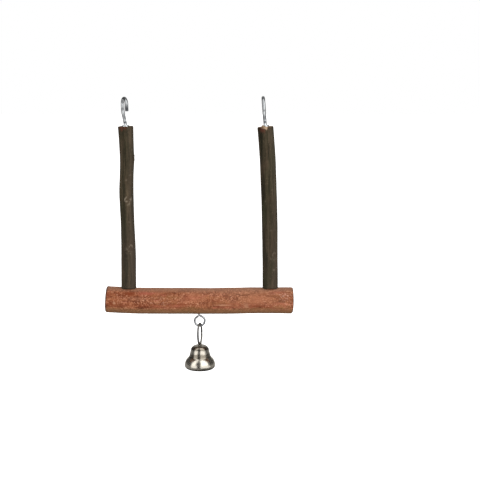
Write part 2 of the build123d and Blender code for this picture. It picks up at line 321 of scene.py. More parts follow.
def uprightBark(look, seed):
    # dark bark with long streaks, pale twig scars and raw wood where a chip came off
    material, tree, shader = newMaterial("uprightBark" + str(seed), 0.8, specular=0.16)
    shift = (seed * 0.37, seed * 0.11, 0)  # sets the two branches apart
    streak = noiseAt(tree, 900, (1, 1, 0.05), shift=shift)
    fleck = noiseAt(tree, 1500, (1, 1, 0.5), shift=shift)
    blotch = noiseAt(tree, 170, (1, 1, 0.35), detail=2, shift=shift)
    moss = noiseAt(tree, 110, (1, 1, 0.4), detail=2, shift=(seed * 0.23, 0, 0.5))
    fissure = noiseAt(tree, 2600, (1, 1, 0.03), detail=2, shift=shift)
    pores = poresAt(tree, scale=460, stretch=(1, 1, 2.0), share=0.34, size=0.2)
    tone = spread(tree, fieldOf(tree, "tone"), -1, 1, 0.06, 0.94)
    tone = combine(tree, tone, spread(tree, streak, 0.3, 0.7, -0.2, 0.2), "ADD")
    tone = combine(tree, tone, spread(tree, fleck, 0.3, 0.7, -0.1, 0.1), "ADD")
    colour = layered(tree, colourRamp(tree, tone, look["tone"]), look, {
        "warm": spread(tree, blotch, 0.5, 0.68, 0.0, 0.45),
        "moss": spread(tree, moss, 0.48, 0.62, 0.0, 0.55),
        # painted light on the side towards the key light, and grey at the foot
        "grey": fieldOf(tree, "greySide"),
        "fissure": spread(tree, fissure, 0.44, 0.36, 0.0, 0.6),
        "pore": spread(tree, pores, 0, 1, 0.0, 0.5),
        "redInner": fieldOf(tree, "redInner"),
        "scar": fieldOf(tree, "scar"),
    })
    bare = mixColours(tree, spread(tree, streak, 0.38, 0.56), tint(*look["tornWood"]), tint(*look["rawWood"]))
    colour = mixColours(tree, fieldOf(tree, "rawWood"), colour, bare)
    tree.links.new(colour, shader.inputs["Base Color"])
    tree.links.new(spread(tree, fleck, 0.35, 0.65, 0.88, 0.7), shader.inputs["Roughness"])
    height = combine(tree, fleck, streak, "ADD")
    height = combine(tree, height, spread(tree, fissure, 0.34, 0.46, -0.6, 0.0), "ADD")
    relief(tree, shader, combine(tree, height, pores, "ADD"), 0.00014, 0.7)
    return material


endGrain = {
    "rings": [(0.0, (166, 132, 98)), (0.5, (188, 156, 121)), (1.0, (200, 170, 136))],
    "fibres": [(0.35, (140, 108, 80)), (0.65, (214, 186, 152))],
    "stain": (160, 116, 78),
    "check": (92, 66, 44),
    "aged": (60, 48, 36),
    "rim": (82, 62, 46),
    "waves": {"Distortion": 5.0, "Detail": 2.0, "Detail Scale": 0.5},
}


def sawnWood(name, axis, middle, ringScale, age=0.0, look=endGrain):
    # end grain: growth rings about the pith and fibre ends, darker with age
    material, tree, shader = newMaterial(name, 0.8, specular=0.25)
    centred = ownPlace(tree, shift=tuple(-c * mm for c in middle))
    rings = addNode(tree, "ShaderNodeTexWave", {"Vector": centred, "Scale": ringScale, **look["waves"]},
                    wave_type="RINGS", rings_direction=axis)
    fibre = noiseAt(tree, 2600, detail=3)
    stain = noiseAt(tree, 210, detail=2)
    colour = colourRamp(tree, rings.outputs["Fac"], look["rings"])
    colour = mixColours(tree, 0.35, colour, colourRamp(tree, fibre, look["fibres"]))
    layers = {"stain": spread(tree, stain, 0.45, 0.7, 0.0, 0.5), "check": fieldOf(tree, "check")}
    if age:
        layers["aged"] = age
    layers["rim"] = fieldOf(tree, "edge")
    tree.links.new(layered(tree, colour, look, layers), shader.inputs["Base Color"])
    relief(tree, shader, fibre, 0.0001, 0.7)
    return material


# painted shade on wires: the colour that darkens them at given places
wireShadeColour = (58, 60, 64)


def platedMetal(name, colour, roughness, waviness, shadeBands=None):
    # bright plate: slight waves from bending or stamping, fine scratches in the gloss, painted shade at given
    # places on wires, and bands of painted shade between two heights where they are given
    material, tree, shader = newMaterial(name, roughness, metallic=1.0)
    wave = noiseAt(tree, 260, detail=2)
    scratch = noiseAt(tree, 3200, (1, 1, 0.2), detail=3)
    tone = colourRamp(tree, scratch, [(0.3, tuple(c * 0.93 for c in colour)), (0.7, colour)])
    if shadeBands:
        low, high, stops = shadeBands
        place = addNode(tree, "ShaderNodeTexCoord").outputs["Object"]
        height = addNode(tree, "ShaderNodeSeparateXYZ", {"Vector": place}).outputs["Z"]
        height = spread(tree, height, low * mm, high * mm)
        wavy = combine(tree, height, spread(tree, wave, 0.3, 0.7, -0.03, 0.03), "ADD")
        tone = mixColours(tree, 1.0, tone, colourRamp(tree, wavy, stops), "MULTIPLY")
    tone = mixColours(tree, fieldOf(tree, "wireShade"), tone, tint(*wireShadeColour))
    tree.links.new(tone, shader.inputs["Base Color"])
    gloss = spread(tree, scratch, 0.3, 0.75, roughness * 0.75, roughness * 1.5)
    tree.links.new(gloss, shader.inputs["Roughness"])
    relief(tree, shader, wave, waviness, 0.5)
    return material


sawnEnd = {
    # shares of the radius at which the rings of points on a sawn end lie
    "rings": np.array([0.06, 0.16, 0.27, 0.38, 0.49, 0.59, 0.69, 0.78, 0.86, 0.93, 0.975, 1.0]),
    "squareFoot": 0.05,  # share of the length over which the foot comes square to the branch's way
    "pith": 0.1,
    "crackDepth": 0.25,
    "darkRim": (0.86, 0.99),
    "sharp": 50.0,
}


def branchPoints(branch, share, turn, radius):
    # a middle line through the stations plus the radius, square to the line; a sawn end leans with the height
    # over the middle line and bows with the height's square
    along, wanderWay, sideWay = (np.array(way, float) for way in branch["ways"])
    length, diameter = branch["length"], branch["diameter"]
    shifts = np.array(branch["wander"]) * diameter
    step = 1e-3
    slope = stationCurve(shifts, share + step) - stationCurve(shifts, share - step)
    slope /= (np.minimum(share + step, 1) - np.maximum(share - step, 0)) * length
    slope *= np.clip(share / sawnEnd["squareFoot"], 0, 1)
    slope, rise = slope[..., None], np.sqrt(1 + slope**2)[..., None]
    across, onward = (wanderWay - slope * along) / rise, (along + slope * wanderWay) / rise
    middle = np.array(branch["foot"]) + along * (share * length)[..., None]
    middle = middle + wanderWay * stationCurve(shifts, share)[..., None]
    cosTurn, sinTurn = np.cos(np.radians(turn))[..., None], np.sin(np.radians(turn))[..., None]
    points = middle + radius[..., None] * (across * cosTurn + sideWay * sinTurn)
    height = radius * cosTurn[..., 0]
    for nearness, lean, bow in zip((1 - share, share), branch["cutLeans"], branch["cutBows"]):
        fade = np.clip(1 - (1 - nearness) * (len(shifts) - 1), 0, 1)
        cut = math.tan(math.radians(lean)) * height + bow * (0.5 - (2 * height / diameter) ** 2)
        points += along * (cut * fade)[..., None]
    return points, onward


def sawnMarks(branch, turn, radius):
    # the saw's marks in millimetres, and the pith with the drying cracks, which sway on their way out
    rings = sawnEnd["rings"]
    out = np.concatenate([rings, np.ones(branch["rows"]), rings[::-1]])[:, None]
    saw = latticeField(radius / branch["diameter"], turn / 360.0, 9, 24, branch["seed"] + 7)
    check = bump(out, sawnEnd["pith"]) + 0 * turn
    for facing, width, start, reach in branch["cracks"]:
        sway = 6.0 * np.sin(9 * out + facing)
        strength = spreadTo(out, start, start + 0.12) * spreadTo(out, reach, reach - 0.15)
        check = np.maximum(check, bump(angleFrom(turn + sway, facing) * out, width) * strength)
    return saw * branch["sawMarks"], check


def branchPiece(branch, name, body, bark, shape):
    # rows run along the branch and columns round it, with the rings of the sawn ends first and last; bark
    # gives the relief and the marks, and shape reworks the points
    rows, cols, length = branch["rows"], branch["cols"], branch["length"]
    rings, caps = sawnEnd["rings"], len(sawnEnd["rings"])
    footBreak, topBreak = branch["breaks"]
    side = np.linspace(footBreak, length - topBreak, rows)
    place = np.concatenate([np.zeros(caps), side, np.full(caps, length)]) / length
    share, turn = np.meshgrid(place, np.arange(cols) * 360.0 / cols, indexing="ij")
    lift, marks = bark(share, turn, branch)
    radius = branch["diameter"] / 2 * stationCurve(branch["swell"], share) + lift
    radius[:caps] = rings[:, None] * (radius[caps] - footBreak)
    radius[-caps:] = rings[::-1, None] * (radius[-caps - 1] - topBreak)
    points, onward = branchPoints(branch, share, turn, radius)
    saw, check = sawnMarks(branch, turn, radius)
    ends, rim, sawnRows = np.zeros(share.shape), np.zeros(share.shape), np.zeros(len(place) - 1)
    for end, inwards in ((slice(None, caps - 1), 1), (slice(1 - caps, None), -1)):
        ends[end] = (saw + inwards * sawnEnd["crackDepth"] * check)[end]
        sawnRows[end] = 1
    points = shape(points + onward * ends[..., None], radius, turn, caps, branch)
    rim[:caps] = spreadTo(rings, *sawnEnd["darkRim"])[:, None]
    rim[-caps:] = rim[:caps][::-1]
    marks.update(edge=np.maximum(marks["edge"], rim), check=check)
    fields = {key: np.append(values, [0.0, 0.0]) for key, values in marks.items()}
    coords = np.concatenate([points.reshape(-1, 3), [points[0].mean(0), points[-1].mean(0)]])
    faces = gridFaces(*share.shape)
    kinds = np.append(np.repeat(sawnRows, cols), np.ones(len(faces[1])))
    return meshPiece(name, body, coords, faces, None, kinds, fields, sawnEnd["sharp"])


footSide = 45.15  # from the swing's middle to the middle of each foot
seatLevel = -117.2  # where the uprights' feet stand on the perch
topLevel = -14.1  # about where the uprights' tops lie

leftUpright = {
    "foot": (-footSide, 0.0, seatLevel),
    "ways": ((0, 0, 1), (1, 0, 0), (0, 1, 0)),  # along, the way it wanders, and square to both
    "length": 103.35,
    "diameter": 9.0,
    "breaks": (0.02, 0.3),
    "cutLeans": (0.0, 0.0),
    "cutBows": (0.0, 0.0),
    "footing": 1.8,  # half the width of the seat that the foot stands on
    "footBevel": 15.0,
    "bevelReach": 3.0,
    # shares of the diameter at stations from the foot to the top
    "swell": [1.07, 1.04, 1.04, 1.0, 0.965, 0.985, 1.01, 0.97, 0.99, 1.01, 1.07],
    "wander": [-0.01, 0.0, 0.012, 0.007, -0.013, -0.035, -0.056, -0.022, 0.017, -0.006, -0.036],
    "rows": 260,
    "cols": 112,
    "seed": 31,
    "sawMarks": 0.07,
    "cracks": [(35, 4.0, 0.35, 0.9), (158, 3.5, 0.5, 0.85)],  # facing, width at the rim, start, end
    "relief": [(0.09, 5, 11), (0.05, 18, 34), (0.02, 120, 56)],  # height, cells along and round
    "tones": [(0.4, 4, 13), (0.35, 9, 40)],
    "grooves": [(-118, 13, 0.14), (-28, 10, 0.10), (48, 14, 0.14), (112, 12, 0.12), (154, 12, 0.10)],
    # painted light and shade: stripes up the branch, lighter or darker as facets catch or miss the light
    "bands": [(-106, 15, -0.6), (-66, 28, 0.45), (-152, 12, 0.2)],  # facing, width, how much lighter
    # knots: share of the length, facing, height, paleness, and the bearing on which the scar's ring is open
    "knots": [(0.265, -66, 0.3, 0.4, -85), (0.56, -84, 0.35, 0.75, 15), (0.81, 0, 0.3, 0.0, 0)],
    # flecks: share of the length, facing, reach, paleness
    "flecks": [(0.678, -89, 0.7, 0.2), (0.709, -57, 0.6, 0.22), (0.42, -70, 0.5, 0.15), (0.86, -40, 0.5, 0.2),
               (0.5, 60, 0.6, 0.2), (0.3, 120, 0.7, 0.25), (0.75, 150, 0.6, 0.2)],
    # painted light: how much greyer and lighter the side towards +X, where the key light falls, is
    "greySide": 0.3,
    "greyFoot": 0.35,
    "highTone": 0.24,  # how much lighter the upper half is
    "innerBark": [(-118, 20, 2.8), (-90, 12, 1.8)],  # facing, half width in degrees, depth from the top
    "chip": None,
    "hookBed": 2.4,
    "bedDepth": 0.45,
    "ringScale": 420,
    "age": 0.8,
}

rightUpright = {
    **leftUpright,
    "foot": (footSide, 0.0, seatLevel),
    "length": 103.1,
    "diameter": 9.85,
    "swell": [1.0, 1.0, 1.0, 1.0, 1.01, 1.02, 1.03],
    "wander": [0.0, -0.018, -0.037, -0.07, -0.132, -0.214, -0.352],
    "seed": 57,
    "grooves": [(-132, 16, 0.12), (-88, 9, 0.07), (-30, 11, 0.10), (60, 14, 0.14), (128, 14, 0.12)],
    "bands": [(-136, 22, -0.6), (-60, 30, 0.3)],
    "knots": [(0.218, -58, 0.35, 0.2, -60)],
    "flecks": [(0.124, -62, 0.7, 0.3), (0.37, -84, 0.6, 0.12), (0.62, -66, 0.5, 0.12), (0.55, -120, 0.5, 0.2),
               (0.45, 80, 0.6, 0.25), (0.7, 130, 0.6, 0.2), (0.25, 30, 0.5, 0.1)],
    "greyFoot": 0.15,
    "highTone": 0.2,
    "innerBark": [(-112, 24, 3.4), (-84, 10, 2.6)],
    "chip": {"from": -128, "to": -70, "apex": -81, "depth": 1.8, "cut": 0.4, "edge": 0.15, "torn": 1.0,
             "tornFacing": -112, "tornWidth": 30.0, "tornRing": (3.2, 0.8)},  # the ring's radius and width
    "bedDepth": 0.2,
    "age": 0.1,
}

uprights = {"left": leftUpright, "right": rightUpright}


def fromSpot(share, turn, branch, place, facing):
    # millimetres up the branch and round it from a spot on the bark
    up = (share - place) * branch["length"]
    return up, np.radians(angleFrom(turn, facing)) * branch["diameter"] / 2


def fromLine(share, turn, facing, sway, cells, seed):
    # degrees from a line up the branch that sways from side to side
    return angleFrom(turn + sway * latticeField(share, 0 * turn, cells, 3, seed + facing), facing)


def knotMarks(share, turn, branch, knot):
    # a low swelling with a hollow in it, a pale ragged ring that is open on one side and pale crumbs past the
    # opening: what they add to the bark's lift and tone, and how far it is a scar and red
    place, facing, height, pale, opening = knot
    tall, ring, hollow, shadow, outside = 1.25, 1.1, 0.5, 1.7, 2.6  # height over width, then millimetres
    up, over = fromSpot(share, turn, branch, place, facing)
    bearing = np.arctan2(up, over)
    wobble = 1 + 0.08 * np.sin(2 * bearing + facing) + 0.06 * np.sin(3 * bearing + branch["seed"])
    away = np.hypot(up / tall, over) * wobble
    closedSide = spreadTo(-np.cos(bearing - np.radians(opening)), -0.75, 0.3)
    openSide = spreadTo(np.cos(bearing - np.radians(opening - 50)), 0.3, 0.9)
    crumbs = spreadTo(latticeField(share, turn / 360.0, 150, 84, branch["seed"] + 6), -0.1, 0.4)
    lift = height * bump(away, 1.7) + 0.12 * bump(away - ring, 0.3) * closedSide - 0.2 * bump(away, hollow)
    # painted shade: the tone darkens in a ring round the swelling and in the hollow
    tone = -0.35 * bump(away - shadow, 0.5) - 0.5 * bump(away, hollow)
    paleRing = bump(away - ring, 0.4) * closedSide * (0.35 + 0.65 * crumbs)
    scar = pale * np.maximum(paleRing, 0.75 * openSide * bump(away - outside, 0.9) * crumbs)
    return lift, tone, scar, 0.5 * pale * (1 - pale) * bump(away, 2.2)


def chipMarks(share, turn, branch):
    # a ragged notch down from the top, deepest at its apex: how far the bark is gone, and how raw the wood
    # is, which darkens towards the chip's edge
    chip, facing = branch["chip"], turn - 360.0
    left = np.clip((facing - chip["from"]) / (chip["apex"] - chip["from"]), 0, 1)
    right = np.clip((chip["to"] - facing) / (chip["to"] - chip["apex"]), 0, 1)
    ragged = 1 + 0.3 * latticeField(share, turn / 360.0, 40, 90, branch["seed"] + 9)
    reach = chip["depth"] * np.minimum(left, right) * ragged
    inside = reach - (1 - share) * branch["length"]
    bare = spreadTo(inside, -chip["edge"], chip["edge"]) * (reach > 0)
    return bare, (0.35 * bare + 0.65 * spreadTo(inside, 0.0, 1.0)) * (reach > 0)


def uprightRelief(share, turn, branch):
    # long grooves and ridges, low knots with a twig scar, and a chip that lays the wood bare, in millimetres
    seed, around = branch["seed"], turn / 360.0
    lift = latticeSum(share, around, branch["relief"], seed)
    tone = latticeSum(share, around, branch["tones"], seed + 4)
    for facing, width, depth in branch["grooves"]:
        groove = bump(fromLine(share, turn, facing, 6.0, 7, seed + 200), width)
        lift -= depth * groove
        # painted shade: the tone darkens in the groove
        tone -= 0.4 * groove
    # painted light and shade: lighter and darker stripes up the branch
    for facing, width, lighter in branch["bands"]:
        tone += lighter * bump(fromLine(share, turn, facing, 5.0, 5, seed + 400), width)
    tone += branch["highTone"] * spreadTo(share, 0.4, 0.65) * spreadTo(share, 0.98, 0.92)
    down = (1 - share) * branch["length"]
    red, scar, raw = 0 * share, 0 * share, 0 * share
    for facing, width, depth in branch["innerBark"]:
        ragged = depth * (1 + 0.5 * latticeField(share, around, 3, 60, seed + 8))
        shown = (1 - spreadTo(down, 0.5 * ragged, ragged)) * bump(angleFrom(turn, facing), width)
        red = np.maximum(red, shown)
    for knot in branch["knots"]:
        knotLift, knotTone, knotScar, knotRed = knotMarks(share, turn, branch, knot)
        lift, tone = lift + knotLift, tone + knotTone
        scar, red = np.maximum(scar, knotScar), np.maximum(red, knotRed)
    for place, facing, reach, pale in branch["flecks"]:
        up, over = fromSpot(share, turn, branch, place, facing)
        fleck = bump(np.hypot(1.3 * up, over), reach)
        lift += 0.08 * fleck
        scar = np.maximum(scar, pale * fleck)
    if branch["chip"]:
        bare, raw = chipMarks(share, turn, branch)
        lift -= branch["chip"]["cut"] * bare
        red = red * (1 - bare)
    # painted light: the side towards +X, where the key light falls, is greyer and lighter; the lower part is
    # greyer too
    grey = branch["greySide"] * spreadTo(np.cos(np.radians(turn)), 0.0, 0.7)
    grey += branch["greyFoot"] * spreadTo(share, 0.6, 0.15)
    return lift, {"tone": np.clip(tone, -1, 1), "scar": scar, "redInner": 0.5 * red, "rawWood": raw,
                  "greySide": grey, "edge": 0 * raw}


def uprightEnds(points, radius, turn, caps, branch):
    # the foot is bevelled where it overhangs the seat, so it rises with the distance out from there
    overhang = np.clip(np.abs(points[..., 1]) - branch["footing"], 0, None)
    fade = np.clip(1 - (points[..., 2] - seatLevel) / branch["bevelReach"], 0, 1)
    points[..., 2] += math.tan(math.radians(branch["footBevel"])) * overhang * fade
    # the hook's flange beds into the top, and torn fibres stand up beside it where the chip is
    top, span, around = points[-caps:], radius[-caps:], turn[-caps:]
    soft = 0.15
    bed = 1 - spreadTo(span, branch["hookBed"] - soft, branch["hookBed"] + soft)
    top[..., 2] -= branch["bedDepth"] * bed
    if branch["chip"]:
        chip = branch["chip"]
        fibres = 1 + 0.5 * latticeField(span / branch["diameter"], around / 360.0, 3, 44, branch["seed"] + 12)
        ring, width = chip["tornRing"]
        torn = bump(angleFrom(around, chip["tornFacing"]), chip["tornWidth"]) * bump(span - ring, width)
        top[..., 2] += chip["torn"] * torn * fibres
    return points


def buildUprights():
    for side, branch in uprights.items():
        piece = branchPiece(branch, side + "Branch", "swing", uprightRelief, uprightEnds)
        middle = (branch["foot"][0] + branch["wander"][-1] * branch["diameter"], 0, topLevel)
        wood = sawnWood(side + "EndGrain", "Z", middle, branch["ringScale"], branch["age"])
        bark = uprightBark(uprightLook, branch["seed"])
        finishPiece(piece, "upright_bark", [bark, wood], side + "_upright")


buildUprights()
print("uprights made")


def run(start, end, spacing=0.3):
    # a straight run of evenly spaced points
    count = max(2, int(math.dist(start, end) / spacing) + 1)
    return np.linspace(start, end, count)


def arc(centre, radius, start, sweep, spacing=5.0):
    # points on a circle from one angle over a sweep, in degrees
    angle = np.radians(np.linspace(start, start + sweep, max(5, int(abs(sweep) / spacing) + 1)))
    return np.stack([centre[0] + radius * np.cos(angle), centre[1] + radius * np.sin(angle)], -1)


def joined(*parts):
    # runs and arcs laid end to end, each shared point kept once
    points = np.concatenate(parts)
    keep = np.append(True, np.linalg.norm(np.diff(points, axis=0), axis=1) > 1e-4)
    return points[keep]


def bentLine(corners, radius):
    # straight runs whose inner corners are rounded by arcs that touch both runs
    corners = [np.array(c, float) for c in corners]
    parts, start = [], corners[0]
    for before, corner, after in zip(corners, corners[1:], corners[2:]):
        inWay = (corner - before) / np.linalg.norm(corner - before)
        outWay = (after - corner) / np.linalg.norm(after - corner)
        cross = inWay[0] * outWay[1] - inWay[1] * outWay[0]
        turned = math.degrees(math.atan2(cross, inWay @ outWay))
        reach = radius * math.tan(math.radians(abs(turned)) / 2)
        first = corner - inWay * reach
        hand = math.copysign(1.0, turned)
        centre = first + hand * radius * np.array([-inWay[1], inWay[0]])
        begin = math.degrees(math.atan2(*(first - centre)[::-1]))
        parts += [run(start, first), arc(centre, radius, begin, turned)]
        start = corner + outWay * reach
    return joined(*parts, run(start, corners[-1]))


def turnedPlace(turn, lean=0.0, move=(0, 0, 0)):
    # a turn about Z, then a lean about Y, then a move: the matrix and the move
    t, l = math.radians(turn), math.radians(lean)
    spin = np.array([[math.cos(t), -math.sin(t), 0], [math.sin(t), math.cos(t), 0], [0, 0, 1]])
    tilt = np.array([[math.cos(l), 0, math.sin(l)], [0, 1, 0], [-math.sin(l), 0, math.cos(l)]])
    return tilt @ spin, np.array(move, float)


def atLevel(level, turn=0.0):
    # a place over or under the middle of the perch
    return turnedPlace(turn, 0, (0, 0, level))


def wirePiece(name, body, path, wire, place, closed=False, tipRound=0.25, sides=28, wireShadePlaces=()):
    # a circle carried along a flat path in the XZ plane; an open end is flat with a quarter-round rim
    flat = np.stack([path[:, 0], 0 * path[:, 0], path[:, 1]], -1)
    radius = np.full(len(flat), wire / 2)
    travel = np.append(0.0, np.cumsum(np.linalg.norm(np.diff(flat, axis=0), axis=1)))
    # painted shade: darker places along the wire
    wireShade = 0 * travel
    for middle, reach, strength in wireShadePlaces:
        wireShade = np.maximum(wireShade, strength * bump(travel - middle, reach))
    ahead = np.roll(flat, -1, 0) - np.roll(flat, 1, 0) if closed else np.gradient(flat, axis=0)
    ahead /= np.linalg.norm(ahead, axis=1)[:, None]
    if not closed:
        bend = np.radians(np.linspace(90, 0, 6))
        narrow = wire / 2 - tipRound * (1 - np.cos(bend))
        narrow = np.append(np.array([0.35, 0.7]) * narrow[0], narrow)  # two rings, then the rim
        inset = np.append([0, 0], tipRound * (1 - np.sin(bend)))[:, None]
        tip = len(narrow)
        flat = np.concatenate([flat[0] + ahead[0] * inset, flat[1:-1], flat[-1] - ahead[-1] * inset[::-1]])
        radius = np.concatenate([narrow, radius[1:-1], narrow[::-1]])
        ahead = np.concatenate([ahead[:1].repeat(tip, 0), ahead[1:-1], ahead[-1:].repeat(tip, 0)])
        wireShade = np.concatenate([wireShade[:1].repeat(tip), wireShade[1:-1], wireShade[-1:].repeat(tip)])
    angle = np.radians(np.arange(sides) * 360.0 / sides)
    outOfPlane = np.array([0.0, 1.0, 0.0])
    sideWay = np.cross(ahead, outOfPlane)
    ring = sideWay[:, None] * np.cos(angle)[:, None] + outOfPlane * np.sin(angle)[:, None]
    coords = (flat[:, None] + radius[:, None, None] * ring).reshape(-1, 3)
    wireShade = np.repeat(wireShade, sides)
    if not closed:
        coords = np.concatenate([coords, flat[:1], flat[-1:]])
        wireShade = np.append(wireShade, [wireShade[0], wireShade[-1]])
    return meshPiece(name, body, coords, gridFaces(len(flat), sides, closed), place, fields={"wireShade": wireShade})


def revolved(name, body, profile, place, segments, loop=False):
    # a profile of radius and height turned about Z; a loop closes on itself, and an open profile starts and
    # ends on the axis
    angle = np.radians(np.arange(segments) * 360.0 / segments)
    rows = profile if loop else profile[1:-1]
    out, up = rows[:, :1], np.repeat(rows[:, 1:], segments, 1)
    coords = np.stack([out * np.cos(angle), out * np.sin(angle), up], -1).reshape(-1, 3)
    if not loop:
        coords = np.concatenate([coords, [[0, 0, profile[0, 1]], [0, 0, profile[-1, 1]]]])
    return meshPiece(name, body, coords, gridFaces(len(rows), segments, loop), place)


perch = {
    "foot": (-59.75, 0.0, -125.3),  # its left end
    "ways": ((1, 0, 0), (0, 0, 1), (0, 1, 0)),
    "length": 119.5,
    "diameter": 16.6,
    "breaks": (0.6, 0.7),
    "cutLeans": (3.0, 1.5),  # degrees, at the left and the right end
    "cutBows": (0.0, 0.5),
    "swell": [1.02, 1.01, 1.01, 1.01, 1.015, 1.01, 1.025],
    "wander": [0.056, 0.003, -0.006, -0.012, -0.003, 0.009, 0.012],
    "rows": 300,
    "cols": 216,
    "seed": 11,
    "sawMarks": 0.06,
    "cracks": [(-72, 2.8, 0.0, 0.9), (96, 2.0, 0.45, 0.85), (20, 1.8, 0.6, 0.95)],
    "relief": [(0.10, 9, 7), (0.05, 14, 30), (0.04, 110, 48), (0.02, 220, 72)],
    "seats": [(-footSide, 4.32), (footSide, 4.45)],  # x and radius
    "screwMouth": {"radius": 2.85, "rim": 0.3, "core": 1.5, "level": -132.45, "below": -136.0,
                   "segments": 48},
    "ringScale": 260,
    # painted shade in a band along the left end's edge
    "wornEdge": (0.7, 0.55),  # strength, reach
    "paleDip": 0.08,
    "marks": {  # x, facing, reach along and round, strength
        # the first flush patch, dark red in front of the left foot, is the upright's painted shadow
        "flush": [(-44.5, -48, 5.0, 12, 0.95), (36.5, -103, 4.5, 2.6, 0.8), (43.0, -108, 3.0, 2.6, 0.7),
                  (-34.0, -100, 26.0, 7, 0.4), (30.0, -101, 26.0, 6, 0.3), (-57.0, -52, 2.0, 9, 0.5),
                  (-55.0, -95, 3.5, 12, 0.5), (15.0, -91.5, 6.0, 2.0, 0.7), (16.0, -103, 5.5, 2.0, 0.5),
                  (-11.0, -92.5, 11.0, 2.8, 0.65), (28.0, -92.5, 9.0, 2.8, 0.5)],
        "olive": [(-5.2, -112, 5.0, 11, 0.6), (-16.0, -63, 6.0, 7, 0.35), (14.0, -90, 7.0, 4, 0.35),
                  (40.0, -114, 9.0, 5, 0.4)],
        "rosy": [(-33.5, -44, 6.4, 9, 0.8), (-14.5, -101, 3.5, 7, 0.6), (-7.0, -62, 6.0, 10, 0.3),
                 (49.0, -38, 4.0, 9, 0.5)],
        "smooth": [(37.0, -74, 6.0, 26, 0.65), (-5.0, -76, 6.0, 16, 0.5), (-4.5, -48, 5.5, 9, 0.5)],
        "pale": [(15.1, -97, 5.2, 2.6, 0.6), (30.0, -103, 1.5, 9, 0.45), (-54.0, -91.5, 0.7, 5, 1.0),
                 (-22.0, -96, 1.0, 4, 0.5), (34.0, -68, 30.0, 40, 0.14), (26.0, -43, 26.0, 10, 0.16),
                 (-40.0, -70, 6.0, 9, 0.2)],
        "frost": [(54.6, -60, 3.6, 16, 0.6), (-50.0, -66, 4.0, 16, 0.12), (-24.0, -80, 8.0, 16, 0.2)],
    },
}


def markField(share, turn, branch, marks):
    # soft oval marks with ragged edges, each fading with its distance both ways over its reach
    x = branch["foot"][0] + share * branch["length"]
    ragged = 1 + 0.45 * latticeField(share, turn / 360.0, 90, 50, branch["seed"] + 20)
    total = np.zeros(share.shape)
    for place, facing, reach, width, strength in marks:
        total += strength * bump(np.hypot((x - place) / reach, angleFrom(turn, facing) / width) * ragged, 1.0)
    return np.clip(total, 0, 1)


def perchRelief(share, turn, branch):
    # shallow swellings, long low ridges and fine bark grain, in millimetres, and a band of painted shade
    # along the left end's edge
    seed, around = branch["seed"], turn / 360.0
    lift = latticeSum(share, around, branch["relief"], seed)
    patchy = np.clip(0.5 + 0.9 * latticeField(share, around, 40, 16, seed + 5), 0.1, 1)
    strength, reach = branch["wornEdge"]
    fromEdge = share * branch["length"] - branch["breaks"][0]
    marks = {name: markField(share, turn, branch, spots) for name, spots in branch["marks"].items()}
    marks.update(skyward=np.cos(np.radians(turn)), edge=strength * bump(fromEdge, reach) * patchy)
    return lift - branch["paleDip"] * marks["pale"], marks


def perchSeats(points, radius, turn, caps, branch):
    # the crest is cut flat under each foot
    for seatX, seatRadius in branch["seats"]:
        under = np.hypot(points[..., 0] - seatX, points[..., 1]) < seatRadius
        points[..., 2] = np.where(under, np.minimum(points[..., 2], seatLevel), points[..., 2])
    return points


def cutScrewMouths(piece, spec, wood):
    # the wood screws' heads sit in round mouths, which narrow to the screws, cut up into the perch
    wide, core, below, shoulder = spec["radius"], spec["core"], spec["below"], spec["level"] + spec["rim"]
    top = shoulder + wide - core
    profile = np.array([(0, below), (wide, below), (wide, shoulder), (core, top), (0, top)])
    for x in (-footSide, footSide):
        cutter = revolved("screwMouth", "swing", profile, turnedPlace(0, 0, (x, 0, 0)), spec["segments"])
        cutter.data.materials.append(wood)
        mouth = piece.modifiers.new("screwMouth", "BOOLEAN")
        mouth.operation = "DIFFERENCE"
        mouth.solver = "EXACT"
        mouth.material_mode = "TRANSFER"
        mouth.object = cutter
        with bpy.context.temp_override(object=piece, active_object=piece):
            bpy.ops.object.modifier_apply(modifier=mouth.name)
        bpy.data.objects.remove(cutter)
    piece.data.set_sharp_from_angle(angle=math.radians(sawnEnd["sharp"]))


def buildPerch(branch):
    piece = branchPiece(branch, "perchBranch", "swing", perchRelief, perchSeats)
    wood = sawnWood("perchEndGrain", "X", branch["foot"], branch["ringScale"])
    finishPiece(piece, "perch_bark", [perchBark(perchLook), wood], "perch")
    cutScrewMouths(piece, branch["screwMouth"], wood)


buildPerch(perch)
print("perch made")

# bands of painted shade on the bell at the lip, the waist's crease and the shoulder: share of the height, and
# what is left of the plate's colour
bellShadeBands = [(0.0, (40, 40, 40)), (0.055, (70, 68, 66)), (0.1, (160, 157, 154)), (0.15, (255, 255, 255)),
               (0.48, (255, 255, 255)), (0.54, (175, 172, 167)), (0.66, (170, 166, 161)),
               (0.72, (255, 255, 255)), (0.82, (255, 255, 255)), (0.885, (125, 120, 116)),
               (0.94, (200, 196, 192)), (1.0, (215, 212, 208))]
plates = {  # screen colour, roughness, depth of the waves in metres
    "zincPlate": ((214, 218, 221), 0.14, 0.00001),
    "eyeZinc": ((180, 183, 187), 0.22, 0.00001),
    "nickelPlate": ((206, 200, 188), 0.2, 0.00012, (-169.8, -155.0, bellShadeBands)),
    # a darker copy of the nickel plate, painted shade, for the link and the clapper's stem
    "shadedNickelWire": ((122, 119, 113), 0.18, 0.00001),
    "hangerNickel": ((196, 192, 184), 0.22, 0.00001),
    "turnedSteel": ((176, 172, 164), 0.28, 0.0001),
    "screwZinc": ((196, 200, 200), 0.24, 0.0001),
}
metal = {name: platedMetal(name, *values) for name, values in plates.items()}

